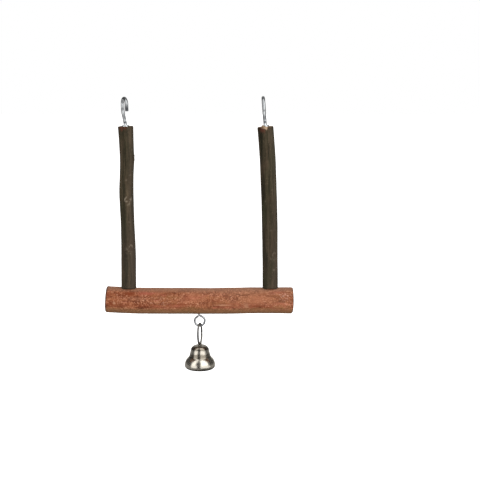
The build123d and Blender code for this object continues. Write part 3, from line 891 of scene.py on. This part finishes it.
hook = {
    "wire": 2.1,
    "inner": 5.7,
    "tipDrop": 4.3,
    "tipRound": 0.3,
    "backDrop": 4.6,
    "rise": 14.3,
    "stub": 1.7,
    "bend": 4.0,
    "screw": {"length": 11.0, "point": 2.0, "pitch": 0.95, "depth": 0.2},
    "flange": {"radius": 2.35, "thick": 1.1, "rim": 0.3, "chamfer": 0.08},
    "turns": {"left": -66.0, "right": -90.0},
    "bowHeight": {"left": 0.9, "right": 1.0},  # share of a half circle's height
    "aside": {"left": -0.12, "right": 0.0},
    # painted shade on the wires at the tip, the bends and the foot
    "wireShade": {  # along from the tip, reach, strength
        "left": [(1.5, 3.2, 0.95), (7.6, 3.6, 0.45), (19.2, 1.0, 0.6), (24.8, 2.2, 0.6), (28.4, 0.8, 0.95)],
        "right": [(0.4, 1.6, 0.55), (12.0, 14.0, 0.4), (26.0, 2.4, 0.75), (28.9, 0.8, 0.97)],
    },
}


def threadedPin(name, body, diameter, place, length, point, pitch, depth):
    # a pin that hangs from the origin; its radius rises and falls along a screw line and shrinks to a point
    segments, rows = 32, int(length / pitch * 12)
    down = np.linspace(0, length - 0.05, rows)[:, None]
    angle = np.arange(segments)[None] * 2 * np.pi / segments
    phase = np.mod(down / pitch - angle / (2 * np.pi), 1.0)
    crest = np.abs(phase * 2 - 1)
    fade = np.clip(down / (1.5 * pitch), 0, 1)
    radius = diameter / 2 - depth * fade * (1 - np.clip(crest * 2.2 - 0.7, 0, 1))
    radius = radius * np.clip((length - down) / point, 0.02, 1)
    points = np.stack([radius * np.cos(angle), radius * np.sin(angle), -down + 0 * angle], -1)
    coords = np.concatenate([points.reshape(-1, 3), [[0, 0, 0], [0, 0, -length]]])
    return meshPiece(name, body, coords, gridFaces(rows, segments), place)


def flangeProfile(radius, thick, rim, chamfer):
    # half section of a flange, chamfered below and with a rounded rim above
    low = np.array([(0, 0), (radius * 0.5, 0), (radius - chamfer, 0), (radius, chamfer)])
    high = np.array([(radius * 0.7, thick), (radius * 0.4, thick), (0, thick)])
    return joined(low, arc((radius - rim, thick - rim), rim, 0, 90, 15), high)


def buildHooks(spec):
    # the tip comes up, a half circle runs over the bar, and the back comes down and bends in to the shank
    bow, wire, rise = (spec["inner"] + spec["wire"]) / 2, spec["wire"], spec["rise"]
    corners = [(-bow, 0), (-bow, -spec["backDrop"]), (0, spec["stub"] - rise), (0, -rise)]
    back = bentLine(corners, spec["bend"])
    path = joined(run((bow, -spec["tipDrop"]), (bow, 0)), arc((0, 0), bow, 0, 180), back)
    profile = flangeProfile(**spec["flange"])
    for side, branch in uprights.items():
        shifts = np.array(branch["wander"]) * branch["diameter"]
        slope = (shifts[-1] - shifts[-2]) * (len(shifts) - 1) / branch["length"]
        topX = branch["foot"][0] + shifts[-1] + spec["aside"][side]
        line = np.stack([path[:, 0], path[:, 1] * np.where(path[:, 1] > 0, spec["bowHeight"][side], 1.0)], -1)
        lean = math.degrees(math.atan(slope))
        matrix, move = turnedPlace(spec["turns"][side], lean, (topX - topLevel * slope, 0, 0))
        foot = (matrix, move + matrix @ np.array([0, 0, -rise]))
        piece = wirePiece(side + "HookWire", "swing", line, wire, (matrix, move), tipRound=spec["tipRound"],
                          wireShadePlaces=spec["wireShade"][side])
        flange = revolved(side + "Flange", "swing", profile, foot, 72)
        screw = threadedPin(side + "HookScrew", "swing", wire, foot, **spec["screw"])
        finishPiece(joinPieces(piece, flange, screw), "zinc_wire", [metal["zincPlate"]], side + "_hook")


buildHooks(hook)
print("hooks made")

eye = {
    "wire": 1.42,
    "inner": 5.0,
    "bend": 2.0,
    "gap": -0.55,  # the ring's end is pressed against the bend
    "drop": 5.256,
    "aside": 0.6,
    "level": -138.606,
    "tipRound": 0.12,
    "screw": {"length": 9.0, "point": 2.0, "pitch": 0.7, "depth": 0.14},
    "flats": (5, 0.09),  # how many flats the bending left, and their depth
}


def eyeLine(radius, wire, bend, gap, stem, aside=0.0):
    # a stem that comes down, bends away and runs round the origin into a ring, whose end stops a gap short of
    # the bend
    neck = math.sqrt((radius + bend) ** 2 - (bend - aside) ** 2)
    start = math.degrees(math.atan2(neck, bend - aside))
    reach, clear = radius + bend, bend + wire + gap
    short = math.degrees(math.acos((radius**2 + reach**2 - clear**2) / (2 * radius * reach)))
    return joined(run((-aside, stem), (-aside, neck)), arc((bend - aside, neck), bend, 180, start),
                  arc((0, 0), radius, start, short - 360))


def buildEye(spec):
    # the ring's radius rises and falls with the flats, but not where the link hangs
    wire, level, aside = spec["wire"], spec["level"], spec["aside"]
    radius = (spec["inner"] + wire) / 2
    path = eyeLine(radius, wire, spec["bend"], spec["gap"], spec["drop"], aside)
    away, around = np.hypot(path[:, 0], path[:, 1]), np.arctan2(path[:, 1], path[:, 0])
    onRing = spreadTo(away, radius * 1.1, radius * 1.02) * spreadTo(np.sin(around), -0.95, -0.4)
    count, depth = spec["flats"]
    flats = depth * np.cos(count * (around - math.pi / 2)) * onRing
    path = path * (1 + flats / away)[:, None]
    piece = wirePiece("eyeWire", "swing", path, wire, atLevel(level), tipRound=spec["tipRound"])
    place = turnedPlace(0, 180, (-aside, 0, level + spec["drop"]))
    screw = threadedPin("eyeScrew", "swing", wire, place, **spec["screw"])
    finishPiece(joinPieces(piece, screw), "zinc_wire", [metal["eyeZinc"]], "screw_eye")


buildEye(eye)
print("screw eye made")

link = {
    "wire": 1.2,
    "length": 14.6,
    "width": 7.2,
    "gap": 0.25,
    "turn": 68.0,
    "top": -140.446,
    "fullness": 2.3,  # 2 is an ellipse
    "tipRound": 0.1,
    # painted shade on the link's strand
    "wireShade": [(17.0, 6.5, 0.6)],  # along from the butted ends, reach, strength
}


def buildLink(spec):
    # an oval, a little fuller than an ellipse: half width and height times a power of the cosine and sine,
    # cut at one side
    half, tall = (spec["width"] - spec["wire"]) / 2, (spec["length"] - spec["wire"]) / 2
    cut = math.asin((spec["gap"] / 2 / tall) ** (spec["fullness"] / 2))
    around = np.linspace(cut, 2 * math.pi - cut, 161)
    circle = np.stack([np.cos(around), np.sin(around)], -1)
    path = np.array([half, tall]) * np.sign(circle) * np.abs(circle) ** (2 / spec["fullness"])
    place = atLevel(spec["top"] - tall, spec["turn"])
    piece = wirePiece("linkWire", "link", path, spec["wire"], place, tipRound=spec["tipRound"],
                      wireShadePlaces=spec["wireShade"])
    finishPiece(piece, "link_wire", [metal["shadedNickelWire"]], "bell_link")


buildLink(link)
print("link made")

bell = {
    "crownLevel": -154.706,
    "height": 15.05,
    "lip": 19.9,
    "band": 1.9,  # height over which the lip turns in
    "turnIn": 60.0,
    "waist": (13.9, 7.4),  # diameter, and depth under the crown
    "waistRound": 0.9,
    "shoulder": (11.8, 2.9),
    "crown": 5.0,
    "wall": 0.6,
    "hole": 2.7,
    "turn": -22.0,
}


def bellProfile(spec):
    # half section of the bell: a domed top, a straight body, a rounded waist, a flare and a lip turned in;
    # the inside lies a wall's thickness in from the outside
    crown = (spec["crown"] / 2, 0.0)
    shoulder = (spec["shoulder"][0] / 2, -spec["shoulder"][1])
    waist = np.array([spec["waist"][0] / 2, -spec["waist"][1]])
    band = np.array([spec["lip"] / 2, spec["band"] - spec["height"]])
    half, turnIn = spec["wall"] / 2, math.radians(spec["turnIn"])
    lip = (spec["band"] - half * (1 - math.sin(turnIn))) / math.sin(turnIn)
    domeOut, domeDown = shoulder[0] - crown[0], -shoulder[1]
    dome = (domeOut**2 + domeDown**2) / (2 * domeDown)
    domeEnd = math.degrees(math.atan2(dome - domeDown, domeOut))
    flareOut, flareDown = band[0] - waist[0], waist[1] - band[1]
    flare = (flareOut**2 + flareDown**2) / (2 * flareOut)
    flareStart = math.degrees(math.asin(flareDown / flare))
    outer = joined(
        run((spec["hole"] / 2, 0), crown, 0.25),
        arc((crown[0], -dome), dome, 90, domeEnd - 90, 4.0),
        run(shoulder, waist, 0.2),
        arc((band[0] - flare, band[1]), flare, flareStart, -flareStart, 2.0),
        arc((band[0] - lip, band[1]), lip, 0, -spec["turnIn"], 6.0),
    )
    ease = bump(np.linalg.norm(outer - waist, axis=1), spec["waistRound"])[:, None]  # at the waist's corner
    kernel = np.ones(7) / 7
    soft = np.stack([np.convolve(np.pad(line, 3, "edge"), kernel, "valid") for line in outer.T], -1)
    outer = outer * (1 - ease) + soft * ease
    ahead = np.gradient(outer, axis=0)
    ahead /= np.linalg.norm(ahead, axis=1)[:, None]
    inner = outer + spec["wall"] * np.stack([ahead[:, 1], -ahead[:, 0]], -1)
    inner[:, 0] = np.maximum(inner[:, 0], spec["hole"] / 2)
    edge = outer[-1] - half * np.array([math.cos(turnIn), -math.sin(turnIn)])
    return joined(outer, arc(edge, half, -spec["turnIn"], -180, 20), inner[::-1][1:])


def buildBell(spec):
    piece = revolved("bellShell", "bell", bellProfile(spec), atLevel(spec["crownLevel"]), 192, loop=True)
    finishPiece(piece, "bell_nickel", [metal["nickelPlate"]], "bell_shell")


buildBell(bell)
print("bell made")

hanger = {"wire": 0.8, "inner": 1.4, "bend": 0.5, "legGap": 0.1, "top": -153.886, "low": -156.726}


def buildHanger(spec):
    # one closed wire: an eye above, two legs through the crown and an eye below
    radius, bend = (spec["inner"] + spec["wire"]) / 2, spec["bend"]
    low = spec["low"] - spec["top"]
    leg = (spec["wire"] + spec["legGap"]) / 2
    side = leg + bend
    rise = math.sqrt((radius + bend) ** 2 - side**2)
    swing = math.degrees(math.atan2(rise, side))
    path = joined(
        arc((0, 0), radius, -swing, 180 + 2 * swing),
        arc((-side, -rise), bend, swing, -swing, 12),
        run((-leg, -rise), (-leg, low + rise)),
        arc((-side, low + rise), bend, 0, -swing, 12),
        arc((0, low), radius, 180 - swing, 180 + 2 * swing),
        arc((side, low + rise), bend, 180 + swing, -swing, 12),
        run((leg, low + rise), (leg, -rise)),
        arc((side, -rise), bend, 180, -swing, 12),
    )[:-1]
    place = atLevel(spec["top"], bell["turn"])
    piece = wirePiece("hangerWire", "bell", path, spec["wire"], place, closed=True, sides=20)
    finishPiece(piece, "link_wire", [metal["hangerNickel"]], "bell_hanger")


buildHanger(hanger)
print("hanger made")

clapper = {
    "wire": 0.8,
    "inner": 1.4,
    "bend": 0.6,
    "gap": 0.1,
    "eyeLevel": -158.066,
    "tipRound": 0.06,
    "ball": 4.6,
    "ballLevel": -166.506,
    "play": 0.02,  # between the wire and the ball
    "head": 1.4,
    "headThick": 0.35,
}


def buildClapper(spec):
    # a stem with an eye, turned over so that the eye is above, a peened head below and a ball on the stem
    wire, ballRadius = spec["wire"], spec["ball"] / 2
    drop = spec["eyeLevel"] - spec["ballLevel"] + ballRadius
    path = eyeLine((spec["inner"] + wire) / 2, wire, spec["bend"], spec["gap"], drop)
    matrix, move = atLevel(spec["eyeLevel"], link["turn"])
    matrix = matrix @ np.diag([1.0, -1.0, -1.0])
    stem = wirePiece("clapperWire", "clapper", path, wire, (matrix, move), tipRound=spec["tipRound"],
                     sides=20)
    half, thick = spec["head"] / 2, spec["headThick"]
    rim = arc((half - thick / 2, thick / 2), thick / 2, 0, 90, 15)
    profile = joined(np.array([(0, 0), (half * 0.6, 0), (half, 0)]), rim,
                     np.array([(half * 0.4, thick), (0, thick)]))
    end = (matrix, move + matrix @ np.array([0, 0, drop]))
    head = revolved("clapperHead", "clapper", profile, end, 40)
    finishPiece(joinPieces(stem, head), "link_wire", [metal["shadedNickelWire"]], "clapper_stem")
    bore = wire / 2 + spec["play"]
    start = math.degrees(math.acos(bore / ballRadius))
    outer = arc((0, 0), ballRadius, start, -2 * start, 4)
    profile = joined(outer, run((bore, outer[-1][1]), (bore, outer[0][1]), 0.5))[:-1]
    ball = revolved("clapperBall", "clapper", profile, atLevel(spec["ballLevel"]), 64, loop=True)
    finishPiece(ball, "clapper_steel", [metal["turnedSteel"]], "clapper_ball")


buildClapper(clapper)
print("clapper made")

for side in uprights:  # the two wood screws keep the frame's shape
    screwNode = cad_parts[side + "_perch_screw"]
    screwNode.data.materials.clear()
    screwNode.data.materials.append(metal["screwZinc"])

studio = {
    "ambient": 0.42,
    "aim": (0, 0, -0.09),
    "lights": {
        "keyLight": {"azimuth": 52, "height": 25, "distance": 1.5, "size": (1.1, 1.4), "power": 11.0},
        "fillLight": {"azimuth": -32, "height": 22, "distance": 1.5, "size": (0.8, 1.3), "power": 6.0},
        "backLight": {"azimuth": 180, "height": 25, "distance": 1.5, "size": (1.4, 1.2), "power": 7.0},
    },
    "floor": {"level": -0.42, "reach": 6.0, "colour": (0.82, 0.82, 0.82, 1), "glow": (0.45, 1.2, 0.45, 1.05)},
    "room": {"radius": 0.62, "middle": -0.10, "colour": (1.0, 0.99, 0.97, 1), "front": 0.10, "sides": 0.38,
             "highSides": 0.10, "ceiling": 0.25, "back": 1.0, "highBack": 0.5},
    "panels": [(5, 82, -16, -3, 1.7), (5, 66, -4, 12, 1.7), (8, 70, 6, 76, 2.3), (-68, -23, -16, 14, 1.6),
               (-68, -32, 5, 76, 2.0)],  # left and right side, low and high edge, glow
    "ground": {"level": -0.40, "glow": 0.45, "side": 0.55, "behind": 0.3},
}


def seenDirectly(tree):
    # one for rays from the camera and for mirror and see-through rays
    rays = addNode(tree, "ShaderNodeLightPath").outputs
    seen = combine(tree, rays["Is Camera Ray"], rays["Is Glossy Ray"], "MAXIMUM")
    return combine(tree, seen, rays["Is Transmission Ray"], "MAXIMUM")


def softBox(name, spec, aim):
    lamp = bpy.data.lights.new(name, "AREA")
    lamp.shape = "RECTANGLE"
    lamp.size, lamp.size_y = spec["size"]
    lamp.energy = spec["power"]
    piece = bpy.data.objects.new(name, lamp)
    a, e = math.radians(spec["azimuth"]), math.radians(spec["height"])
    way = Vector((math.sin(a) * math.cos(e), -math.cos(a) * math.cos(e), math.sin(e)))
    piece.location = Vector(aim) + way * spec["distance"]
    piece.rotation_euler = (-way).to_track_quat("-Z", "Y").to_euler()
    piece.visible_glossy = False
    scene.collection.objects.link(piece)


def stagePiece(name, points, material, glow=None):
    # an open grid that is not part of the object
    rows, cols = points.shape[:2]
    index = np.arange(rows * cols).reshape(rows, cols)
    quads = np.stack([index[:-1, :-1], index[:-1, 1:], index[1:, 1:], index[1:, :-1]], -1).reshape(-1, 4)
    mesh = bpy.data.meshes.new(name)
    mesh.from_pydata(points.reshape(-1, 3).tolist(), [], quads.tolist())
    mesh.materials.append(material)
    if glow is not None:
        field = mesh.attributes.new("glow", "FLOAT", "POINT")
        field.data.foreach_set("value", glow.ravel().astype(np.float32))
    piece = bpy.data.objects.new(name, mesh)
    scene.collection.objects.link(piece)
    return piece


def levelGrid(xSpan, ySpan, level, count):
    # evenly spaced points at one level
    x, y = np.meshgrid(np.linspace(*xSpan, count), np.linspace(*ySpan, count), indexing="ij")
    return np.stack([x, y, 0 * x + level], -1)


def panelGlow(azimuth, rise, panel):
    # a soft-edged panel on the room's wall, given by its sides, its low and high edge and its glow
    left, right, low, high, glow = panel
    soft = 5.0
    across = spreadTo(azimuth, left - soft, left + soft) * spreadTo(-azimuth, -right - soft, -right + soft)
    upright = spreadTo(rise, low - soft, low + soft) * spreadTo(-rise, -high - soft, -high + soft)
    return glow * across * upright


def roomGlow(spec, azimuth, rise):
    # dim in front, lighter at the sides, overhead and at the back, with the brighter panels on it
    room, aside = spec["room"], np.abs(azimuth)
    sides = room["sides"] + (room["highSides"] - room["sides"]) * spreadTo(rise, -10, 0)
    glow = room["front"] + (sides - room["front"]) * spreadTo(aside, 20, 110)
    glow = glow + room["ceiling"] * spreadTo(rise, 30, 80)
    back = room["back"] + (room["highBack"] - room["back"]) * spreadTo(rise, 0, 8)
    glow = glow + (back - glow) * spreadTo(aside, 146, 154) * spreadTo(rise, 60, 40)
    return np.max([glow, *(panelGlow(azimuth, rise, panel) for panel in spec["panels"])], axis=0)


def buildRoom(spec):
    # a round room with pale panels in front of the swing, seen only as a reflection in the metal
    room, ground = spec["room"], spec["ground"]
    shade = bpy.data.materials.new("roomShade")
    shade.use_nodes = True
    shade.cycles.emission_sampling = "NONE"
    tree = shade.node_tree
    tree.nodes.clear()
    light = addNode(tree, "ShaderNodeEmission", {"Color": room["colour"], "Strength": fieldOf(tree, "glow")})
    addNode(tree, "ShaderNodeOutputMaterial", {"Surface": light.outputs[0]})
    azimuth, rise = np.meshgrid(np.linspace(-180, 180, 181), np.linspace(-31, 88, 61), indexing="ij")
    a, e = np.radians(azimuth), np.radians(rise)
    wall = np.stack([np.sin(a) * np.cos(e), -np.cos(a) * np.cos(e), np.sin(e)], -1) * room["radius"]
    wall[..., 2] += room["middle"]
    side = ground["side"]
    flat = levelGrid((-side, side), (-side, ground["behind"]), ground["level"], 9)
    wallGlow, flatGlow = roomGlow(spec, azimuth, rise), np.full(flat.shape[:2], ground["glow"])
    for name, points, glow in (("roomWall", wall, wallGlow), ("roomGround", flat, flatGlow)):
        card = stagePiece(name, points, shade, glow)
        card.visible_camera = False
        card.visible_diffuse = False
        card.visible_shadow = False
        card.visible_transmission = False


def buildFloor(spec):
    # a pale floor that takes the swing's shadow; where it is seen directly it glows more with the distance
    material, tree, shader = newMaterial("paleFloor", 0.9, specular=0.0)
    shader.inputs["Base Color"].default_value = spec["colour"]
    place = addNode(tree, "ShaderNodeTexCoord").outputs["Object"]
    away = addNode(tree, "ShaderNodeVectorMath", {0: place}, operation="LENGTH").outputs["Value"]
    glow = combine(tree, seenDirectly(tree), spread(tree, away, *spec["glow"]))
    shader.inputs["Emission Color"].default_value = (1, 1, 1, 1)
    tree.links.new(glow, shader.inputs["Emission Strength"])
    span = (-spec["reach"], spec["reach"])
    stagePiece("floor", levelGrid(span, span, spec["level"], 7), material)


def buildStudio(spec):
    # the background is white where it is seen directly, and dimmer as a light
    world = bpy.data.worlds.new("paleStudio")
    scene.world = world
    world.use_nodes = True
    tree = world.node_tree
    tree.nodes.clear()
    ambient = addNode(tree, "ShaderNodeBackground", {"Color": (1, 1, 1, 1), "Strength": spec["ambient"]})
    white = addNode(tree, "ShaderNodeBackground", {"Color": (1, 1, 1, 1), "Strength": 1.0})
    shades = {0: seenDirectly(tree), 1: ambient.outputs[0], 2: white.outputs[0]}
    either = addNode(tree, "ShaderNodeMixShader", shades)
    addNode(tree, "ShaderNodeOutputWorld", {"Surface": either.outputs[0]})
    buildFloor(spec["floor"])
    buildRoom(spec)
    for name, light in spec["lights"].items():
        softBox(name, light, spec["aim"])


buildStudio(studio)
print("studio made")
